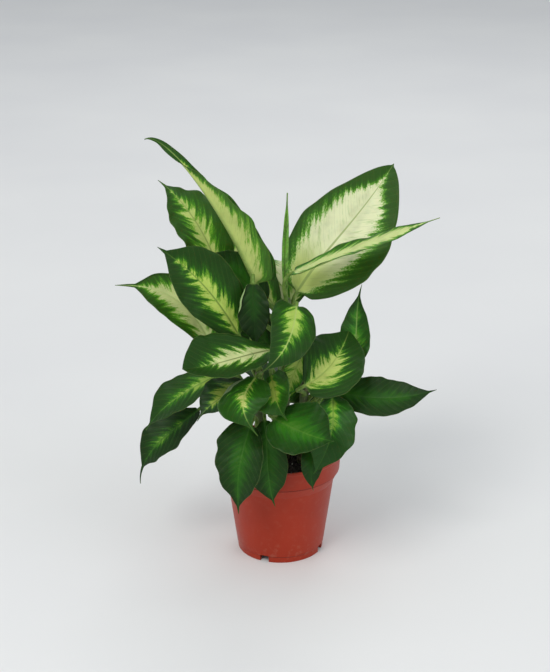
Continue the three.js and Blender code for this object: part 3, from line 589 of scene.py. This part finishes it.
def cane_point(cane, height):
    """The middle of a cane at a height."""
    tip = np.array(cane["tip"], float)
    foot = np.array([*cane["foot"], CANE_BOTTOM], float)
    bend = np.array([*cane["bend"], (CANE_BOTTOM + tip[2]) / 2])
    t = (height - CANE_BOTTOM) / (tip[2] - CANE_BOTTOM)
    return (1 - t) ** 2 * foot + 2 * t * (1 - t) * bend + t * t * tip


def midrib_handles(leaf):
    """The Bezier curve through the four points of a midrib."""
    a, b, c, d = (np.array(p, float) for p in leaf["midrib"])
    return a, (-5 * a + 18 * b - 9 * c + 2 * d) / 6, (2 * a - 9 * b + 18 * c - 5 * d) / 6, d


def stalk_handles(leaf, midrib):
    """The Bezier curve from the cane to the blade's base."""
    start = cane_point(CANES[leaf["cane"]], leaf["height"])
    end = midrib[0]
    reach = PETIOLE_REACH * np.linalg.norm(end - start)
    out = unit((end - start) * (1, 1, 0))
    leave = PETIOLE_LEAN * out + np.array([0, 0, PETIOLE_RISE])
    return start, start + leave * reach, end - unit(midrib[1] - midrib[0]) * reach, end


def outline(leaf, share, side):
    """The half width of one side of the blade as a share of its greatest, as in the source."""
    tail = leaf.get("tail", USUAL_TAIL)
    along = np.minimum(1, share / (1 - tail))
    skew = math.log(0.5) / math.log(leaf.get("bellies", USUAL_BELLIES)[side])
    body = np.maximum(0, np.sin(np.pi * along ** skew)) ** BODY_FULLNESS
    body *= 1 - leaf.get("narrowing", USUAL_NARROWING) * smooth(along, NARROWS_FROM, 1)
    fade = np.minimum(1, (1 - share) / (tail + TAIL_BLEND)) * smooth(share, 0, TAIL_BLEND)
    return np.hypot(body, leaf.get("tailWidth", USUAL_TAIL_WIDTH) * fade)


def round_section(radius):
    """The upper and lower side of a round stalk's section, with a channel along its top."""
    flat = 0.96 * REACH
    rise = np.sqrt(1 - flat ** 2)
    channel = 1 - 0.3 * np.exp(-(REACH / 0.35) ** 2)
    side = radius * flat
    return (np.stack([side, radius * rise * channel, 0 * side], axis=-1),
            np.stack([side, -radius * rise, 0 * side], axis=-1))


def set_along(centre, tangent, right, top, low):
    """Rings of an upper and a lower side, given as right, up and ahead, along a curve."""
    above = unit(np.cross(right, tangent))
    ring = np.concatenate([top, low[:, ::-1]], axis=1)
    return (centre[:, None] + ring[..., :1] * right[:, None] + ring[..., 1:2] * above[:, None]
            + ring[..., 2:] * tangent[:, None])


def stalk_rings(leaf, midrib):
    share = np.linspace(0, 1, STALK_ROWS + 1)[:-1]
    centre, tangent = bezier(stalk_handles(leaf, midrib), share)
    blade_right = np.cross(unit(midrib[1] - midrib[0]), leaf["face"])
    right = unit(blade_right - tangent * (tangent @ blade_right)[:, None])
    foot = STALK_FOOT * (1 - smooth(share, 0, 0.16))
    radius = STALK_RADIUS - STALK_THINNING * share ** 0.6 + foot
    return set_along(centre, tangent, right, *round_section(radius[:, None]))


class Blade:
    """A leaf's blade as a grid of rows from base to tip and columns from margin to margin."""

    def __init__(self, leaf, index):
        self.leaf, self.index = leaf, index
        self.midrib = midrib_handles(leaf)
        self.share = np.concatenate([np.linspace(0, BASE_SHARE, BASE_ROWS + 1)[:-1],
                                     np.linspace(BASE_SHARE, 1, BLADE_ROWS - BASE_ROWS)])
        course = bezier(self.midrib, np.linspace(0, 1, 200))[0]
        self.length = np.linalg.norm(np.diff(course, axis=0), axis=1).sum()
        # At each point: how far right and up it lies, the slope, the distance from the midrib
        # over the surface, and the width as a share of the greatest.
        grids = np.zeros((5, BLADE_ROWS, COLUMNS))
        self.right, self.up, self.slope, self.half, self.width = grids
        self.unfold()
        self.emboss()

    def unfold(self):
        """Lays each half out from the midrib, column by column, by its fold, curl and roll."""
        leaf, share = self.leaf, self.share
        opening = smooth(share, *leaf.get("opens", USUAL_OPENS))
        *rolls, roll_from, roll_start, roll_end = ROLLS.get(leaf["name"], NO_ROLL)
        rolling = smooth(share, roll_start, roll_start + 0.2)
        rolling = rolling * (1 - smooth(share, roll_end - 0.25, roll_end))
        scallops = smooth(share, 0.1, 0.3) * (1 - smooth(share, 0.85, 1))
        for side, columns in enumerate((range(MIDDLE - 1, -1, -1), range(MIDDLE + 1, COLUMNS))):
            width = outline(leaf, share, side)
            phase = 2.1 * self.index + 2.6 * side
            scalloped = np.sin(27 * share + phase) + 0.3 * np.sin(50 * share - phase)
            depth = SCALLOPS.get(leaf["name"], USUAL_SCALLOPS)[side]
            width *= 1 + depth * scallops * scalloped
            wide = np.maximum(LEAST_HALF_WIDTH, leaf["width"] / 2 * width)
            folds = leaf.get("fold", USUAL_FOLD)
            fold = folds[side] + (leaf.get("tipFold", folds)[side] - folds[side]) * opening
            sign = 2 * side - 1
            last = MIDDLE
            for column in columns:
                reach, before = abs(REACH[column]), abs(REACH[last])
                halfway = (reach + before) / 2
                rolled = rolls[side] * rolling * smooth(halfway, roll_from, 0.97)
                lean = np.radians(fold + leaf.get("curl", 0) * halfway + rolled)
                step = (reach - before) * wide
                self.right[:, column] = self.right[:, last] + sign * step * np.cos(lean)
                self.up[:, column] = self.up[:, last] + step * np.sin(lean)
                self.slope[:, column] = sign * lean
                self.half[:, column] = reach * wide
                self.width[:, column] = width
                last = column

    def emboss(self):
        """Waves the margins, sinks the side veins and grooves the midrib."""
        row, reach, half, index = self.share[:, None], np.abs(REACH), self.half, self.index
        strength = WAVES.get(self.leaf["name"], 1)
        waves = WAVE_HEIGHT * strength * np.sin(5 * np.pi * row + 1.7 * index + ON_RIGHT)
        ruffle = RUFFLE_HEIGHT * strength * np.sin(15 * np.pi * row + 2.3 * index + 2 * ON_RIGHT)
        waved = waves * REACH ** 2 + ruffle * reach ** 3
        self.lobe = LOBE_SHARE * self.length * (1 - row) ** 5 * self.width * REACH ** 2
        along = row * self.length - self.lobe
        straightened = min(1, STRAIGHT_VEINS_FROM / (self.leaf["width"] / 2)) ** 3
        # Where on the midrib the side vein at each point starts.
        self.vein = along - VEIN_LEAN * half - VEIN_BEND * straightened * half ** 2
        furrow = (0.5 + 0.5 * np.cos(2 * np.pi * self.vein / VEIN_SPACING)) ** 2
        clear = smooth(half, 1.2, 5) * (1 - smooth(reach, 0.82, 1)) * smooth(row, 0.02, 0.1)
        puff = PUFF_HEIGHT * np.sin(0.11 * along + index)
        puff = puff * np.cos(0.15 * half + 2 * index + 2 * ON_RIGHT)
        groove = GROOVE_DEPTH * (1 - row) * np.exp(-(half / GROOVE_WIDTH) ** 2)
        self.up = (self.up + waved * self.width - VEIN_DEPTH * furrow * clear + puff * clear
                   - groove)

    def rings(self):
        """The upper side and, under it, the lower one with its ridge."""
        row = self.share[:, None]
        ridge = RIDGE_BASE * (1 - row) ** 1.6 + RIDGE_TIP
        ridge = ridge * np.exp(-(self.half / (1.5 - row)) ** 2)
        thick = THICKNESS - MARGIN_THINNING * REACH ** 2 + ridge
        top = np.stack([self.right, self.up, -self.lobe], axis=-1)
        low = np.stack([self.right + thick * np.sin(self.slope),
                        self.up - thick * np.cos(self.slope), -self.lobe], axis=-1)
        grown = smooth(row, 0, NECK_SHARE)[..., None]
        neck_top, neck_low = round_section(NECK_RADIUS)
        centre, tangent = bezier(self.midrib, self.share)
        right = unit(np.cross(tangent, self.leaf["face"]))
        return set_along(centre, tangent, right, top * grown + neck_top * (1 - grown),
                         low * grown + neck_low * (1 - grown))

    def maps(self):
        """What the leaf's material reads at each point of the stalk and the blade."""
        row = self.share[:, None] + 0 * self.half
        stalk = 1 - smooth(row, 0, NECK_SHARE)
        # The ridge under the midrib has the stalk's colour up to the blade's middle.
        ridge = np.exp(-(self.half / NECK_RADIUS) ** 2) * (1 - smooth(row, 0.05, 0.6))
        under = np.tile(np.repeat([0.0, 1.0], COLUMNS), STALK_ROWS + BLADE_ROWS)
        return {
            "blade": (over_leaf(row, 0), over_leaf((REACH + 1) / 2 + 0 * row, 0.5)),
            "veins": (over_leaf(self.vein / VEIN_MAP, 0),
                      over_leaf(0.5 + np.sign(REACH) * self.half / VEIN_MAP, 0.5)),
            "parts": (under, over_leaf(stalk, 1, np.maximum(stalk, 0.8 * ridge))),
        }


def over_leaf(top, stalk, low=None):
    """Values over a blade's upper and lower side, and one for its stalk, over all the rings."""
    low = top if low is None else low
    blade = np.concatenate([top, low[:, ::-1]], axis=1)
    return np.concatenate([np.full((STALK_ROWS, 2 * COLUMNS), stalk), blade]).ravel()


def make_leaf(leaf, index):
    """A leaf's stalk and blade in one closed skin."""
    blade = Blade(leaf, index)
    rings = np.concatenate([stalk_rings(leaf, blade.midrib), blade.rings()])
    rows, count = rings.shape[:2]
    faces = tube_faces(rows, count)
    for start, turned in ((0, True), ((rows - 1) * count, False)):
        for i in range(COLUMNS - 1):
            quad = [start + i, start + i + 1, start + count - 2 - i, start + count - 1 - i]
            faces.append(quad[::-1] if turned else quad)
    piece = new_piece(leaf["name"] + "_skin", rings.reshape(-1, 3), faces, leaf["name"])
    add_maps(piece, blade.maps())
    piece.data.materials.append(leaf_material(leaf, index))


# ---- pot, soil and canes

def lathe(profile, sides):
    """Points and faces of a body of revolution about Z with a closed profile."""
    turn = np.linspace(0, 2 * np.pi, sides, endpoint=False)
    verts = [(r * math.cos(a), r * math.sin(a), z) for r, z in profile for a in turn]
    return verts, tube_faces(len(profile), sides, closed=True)


def rounded(points, radius, steps=4):
    """A closed profile with each of its corners rounded off."""
    out = []
    for i in range(len(points)):
        before, here, after = (np.array(points[k % len(points)], float) for k in (i - 1, i, i + 1))
        before, after = before - here, after - here
        cut = min(radius, 0.45 * np.linalg.norm(before), 0.45 * np.linalg.norm(after))
        start, end = here + unit(before) * cut, here + unit(after) * cut
        for k in range(steps + 1):
            t = k / steps
            out.append(tuple((1 - t) ** 2 * start + 2 * t * (1 - t) * here + t * t * end))
    return out


def inner_radius(height):
    """The pot's inner radius at a height."""
    outer = np.interp(height, [0, SHOULDER, BAND, POT_HEIGHT],
                      [FOOT_RADIUS + 0.7, SHOULDER_RADIUS, RIM_RADIUS - RIM_TAPER, RIM_RADIUS])
    return float(outer) - POT_WALL


def pot_profile():
    """The pot's closed section, from its floor disc up the outside and down the inside."""
    wall = FOOT_RADIUS + 1
    side = [(wall + (SHOULDER_RADIUS - wall) * k / 6, FOOT_STEP + (SHOULDER - FOOT_STEP) * k / 6)
            for k in range(1, 6)]
    band_radius = RIM_RADIUS - RIM_TAPER
    return [
        (0.4, 0), (FLOOR_DISC, 0), (FLOOR_DISC + 1.5, FLOOR_LIFT), (FOOT_RADIUS - 4.4, FLOOR_LIFT),
        (FOOT_RADIUS - 3.4, 0), (FOOT_RADIUS, 0), (FOOT_RADIUS + 0.3, FOOT_STEP - 0.5),
        (wall, FOOT_STEP), *side, (SHOULDER_RADIUS, SHOULDER),
        (band_radius - 0.9, BAND - 0.6), (band_radius - 1.3, BAND + 0.1),
        (band_radius, BAND + 0.5), (band_radius + 0.1, BAND + 1.4),
        (RIM_RADIUS - 0.55, POT_HEIGHT - 4), (RIM_RADIUS, POT_HEIGHT - 2.6),
        (RIM_RADIUS - 0.1, POT_HEIGHT - 0.2),
        (RIM_RADIUS - POT_WALL, POT_HEIGHT), (RIM_RADIUS - POT_WALL - 0.2, POT_HEIGHT - 2.5),
        (inner_radius(BAND), BAND), (inner_radius(SHOULDER), SHOULDER),
        (inner_radius(POT_FLOOR + 3), POT_FLOOR + 3), (inner_radius(POT_FLOOR) - 2, POT_FLOOR),
        (FLOOR_DISC, POT_FLOOR), (FLOOR_DISC - 1.8, POT_WALL), (0.4, POT_WALL)]


def cut_notch(pot, angle):
    """Cuts a drain notch through the edge between the pot's wall and its floor."""
    cutter = bmesh.new()
    bmesh.ops.create_cube(cutter, size=1)
    size = (NOTCH_DEPTH * MM, NOTCH_WIDTH * MM, 2 * NOTCH_HEIGHT * MM)
    bmesh.ops.scale(cutter, vec=size, verts=cutter.verts)
    bmesh.ops.bevel(cutter, geom=cutter.edges, offset=0.0008, segments=2, affect="EDGES")
    out = ((FOOT_RADIUS + 3 - NOTCH_DEPTH / 2) * MM, 0, 0)
    bmesh.ops.translate(cutter, vec=out, verts=cutter.verts)
    bmesh.ops.rotate(cutter, matrix=Matrix.Rotation(angle, 3, "Z"), verts=cutter.verts)
    mesh = bpy.data.meshes.new("cutter")
    cutter.to_mesh(mesh)
    box = new_object("cutter", mesh)
    cut = pot.modifiers.new("notch", "BOOLEAN")
    cut.operation, cut.object, cut.solver = "DIFFERENCE", box, "EXACT"
    bpy.context.view_layer.update()
    evaluated = pot.evaluated_get(bpy.context.evaluated_depsgraph_get())
    pot.data = bpy.data.meshes.new_from_object(evaluated)
    pot.modifiers.clear()
    bpy.data.objects.remove(box)


def make_pot():
    verts, faces = lathe(rounded(pot_profile(), 0.25), POT_SIDES)
    pot = new_piece("pot_shell", verts, faces, "pot")
    for i in range(NOTCHES):
        cut_notch(pot, math.radians(FIRST_NOTCH + 360 / NOTCHES * i))
    pot.data.materials.clear()
    pot.data.materials.append(pot_material())
    pot.data.set_sharp_from_angle(angle=math.radians(35))


def soil_height(x, y, edge):
    """The source's mounds with the peat's own crumble over them."""
    mound = math.sin(0.21 * x + 1.3) * math.cos(0.17 * y - 0.4)
    crumb = 0.5 * math.sin(0.63 * x - 0.9 * y) + 0.4 * math.cos(0.8 * x + 0.5 * y + 2)
    base = SOIL_LEVEL + 1.6 * (mound + crumb) * (1 - 0.7 * edge ** 4)
    lump = noise.fractal(Vector((x, y, 0)) * 0.22, 0.7, 2.1, 5)
    clod = abs(noise.noise(Vector((x, y, 7)) * 0.6))
    return base + 1.1 * lump + 0.9 * clod - 0.5


def make_soil():
    floor = POT_FLOOR + 0.3
    top = inner_radius(SOIL_LEVEL - 3) - 0.3
    body = [(0.5, floor), (inner_radius(floor) - 2.5, floor)]
    body += [(inner_radius(height) - 0.4, height) for height in (floor + 2, SHOULDER, BAND)]
    surface = [(top * (1 - k / SOIL_RINGS) + 0.5 * k / SOIL_RINGS, 0)
               for k in range(SOIL_RINGS + 1)]
    verts, faces = lathe(body + surface, SOIL_SIDES)
    for i in range(len(body) * SOIL_SIDES, len(verts)):
        x, y, _ = verts[i]
        verts[i] = (x, y, soil_height(x, y, math.hypot(x, y) / top))
    soil = new_piece("soil_bed", verts, faces, "soil")
    soil.data.materials.append(soil_material())
    make_crumbs(top, soil.data.materials[0])


def make_crumbs(top, peat):
    """Crumbs of peat on the soil, and a few pale grains, out to the radius top."""
    crumbs = bmesh.new()
    for i in range(CRUMBS):
        pale = i % PERLITE_EVERY == 7
        far = top * math.sqrt(random.uniform(0.0, 0.96))
        angle = random.uniform(0, 2 * math.pi)
        x, y = far * math.cos(angle), far * math.sin(angle)
        size = random.uniform(0.7, 1.1) if pale else random.uniform(0.35, 1.5) ** 1.3
        z = soil_height(x, y, far / top) + 0.15 * size
        made = bmesh.ops.create_icosphere(crumbs, subdivisions=1, radius=size * MM)["verts"]
        stretch = [random.uniform(0.6, 1.3) for _ in range(3)]
        for v in made:
            jitter = 1 + 0.3 * noise.noise(v.co * 900 + Vector((i, 0, 0)))
            v.co = Vector([c * s * jitter for c, s in zip(v.co, stretch)]) + Vector((x, y, z)) * MM
        for face in {f for v in made for f in v.link_faces}:
            face.material_index = int(pale)
            face.smooth = False
    mesh = bpy.data.meshes.new("soil_crumbs")
    crumbs.to_mesh(mesh)
    piece = new_object("soil_crumbs", mesh)
    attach(piece, "root")
    mesh.materials.append(peat)
    mesh.materials.append(perlite_material())


def make_cane(name, cane, skin):
    """A cane with the rings that fallen leaves left, thinner towards its tip."""
    top, (foot_radius, tip_radius) = cane["tip"][2], cane["radius"]
    heights = np.arange(CANE_BOTTOM, top + 0.01, CANE_STEP)
    joints = (heights - SOIL_LEVEL - FIRST_JOINT) / CANE_JOINTS
    turn = np.linspace(0, 2 * np.pi, CANE_SIDES, endpoint=False)
    rings = []
    for height, joint in zip(heights, joints):
        share = (height - CANE_BOTTOM) / (top - CANE_BOTTOM)
        radius = foot_radius + (tip_radius - foot_radius) * share
        near = abs(joint - round(joint)) * CANE_JOINTS
        swell, dip = math.exp(-(near / 1.6) ** 2), math.exp(-((near - 2.4) / 0.7) ** 2)
        radius *= 1 + 0.1 * swell - 0.04 * dip
        radius *= 1 - 0.35 * float(smooth(height, top - 3, top))
        ripple = 0.02 * np.sin(5 * turn + 0.05 * height)
        reach = radius * (1 + ripple + 0.012 * np.sin(11 * turn - 0.21 * height))
        x, y, _ = cane_point(cane, height)
        rings.append(np.stack([x + reach * np.cos(turn), y + reach * np.sin(turn),
                               np.full(CANE_SIDES, height)], axis=-1))
    last = (len(rings) - 1) * CANE_SIDES
    faces = tube_faces(len(rings), CANE_SIDES)
    faces += [list(range(CANE_SIDES))[::-1], list(range(last, last + CANE_SIDES))]
    piece = new_piece(name + "_skin", np.concatenate(rings), faces, name)
    above_soil = (heights - SOIL_LEVEL) / (top - SOIL_LEVEL)
    add_maps(piece, {"cane": (np.repeat(joints, CANE_SIDES), np.repeat(above_soil, CANE_SIDES))})
    piece.data.materials.append(skin)


def make_plant():
    make_pot()
    make_soil()
    skin = cane_material()
    for name, cane in CANES.items():
        make_cane(name, cane, skin)
    for index, leaf in enumerate(LEAVES):
        make_leaf(leaf, index)


# ---- stage

# In metres, watts and degrees. The camera's distance, tilt and focal length, in pixels of a
# picture of this height, are fitted to the photo. A light has a place, a target, a size, a
# power and a colour.
FLOOR_HALF, FLOOR_DROP = 14, 0.0001
SKY_COLOR, SKY_STRENGTH = (0.93, 0.96, 1.0, 1), 0.57
LIGHTS = {
    "key": ((-1.1, -1.7, 2.3), (0, 0, 0.22), 1.5, 37, (1.0, 0.985, 0.96)),
    "fill": ((1.9, -1.2, 1.5), (0, 0, 0.2), 1.6, 11, (1, 1, 1)),
    "back": ((0.4, 2.0, 2.2), (0, 0, 0.25), 1.6, 14, (1, 1, 1)),
}
CAMERA_TARGET, CAMERA_DISTANCE, CAMERA_TILT = (-0.0054, 0, 0.224), 1.5, 21.25
SENSOR_MM, FOCAL_PIXELS, PICTURE_PIXELS = 36, 1560, 672


def aim(obj, target):
    obj.rotation_euler = (Vector(target) - obj.location).to_track_quat("-Z", "Y").to_euler()


def make_floor():
    mesh = bpy.data.meshes.new("floor")
    corners = [(FLOOR_HALF * x, FLOOR_HALF * y, 0) for x, y in ((-1, -1), (1, -1), (1, 1), (-1, 1))]
    mesh.from_pydata(corners, [], [(0, 1, 2, 3)])
    floor = new_object("floor", mesh)
    floor.location.z = -FLOOR_DROP
    mesh.materials.append(floor_material())


def make_light(name, place, target, size, power, color):
    lamp = bpy.data.lights.new(name, "AREA")
    lamp.shape, lamp.size, lamp.energy, lamp.color = "DISK", size, power, color
    obj = new_object(name, lamp)
    obj.location = place
    aim(obj, target)


def make_sky():
    world = bpy.data.worlds.new("studio")
    bpy.context.scene.world = world
    world.use_nodes = True
    background = world.node_tree.nodes["Background"]
    background.inputs[0].default_value = SKY_COLOR
    background.inputs[1].default_value = SKY_STRENGTH


def make_camera():
    camera = new_object("camera", bpy.data.cameras.new("camera"))
    target, tilt = Vector(CAMERA_TARGET), math.radians(CAMERA_TILT)
    camera.location = target + CAMERA_DISTANCE * Vector((0, -math.cos(tilt), math.sin(tilt)))
    aim(camera, target)
    camera.data.sensor_width = SENSOR_MM
    camera.data.lens = SENSOR_MM * FOCAL_PIXELS / PICTURE_PIXELS
    camera.data.clip_end = 100
    bpy.context.scene.camera = camera
    bpy.context.scene.view_settings.view_transform = "Standard"


make_plant()
make_floor()
make_sky()
for light, settings in LIGHTS.items():
    make_light(light, *settings)
make_camera()
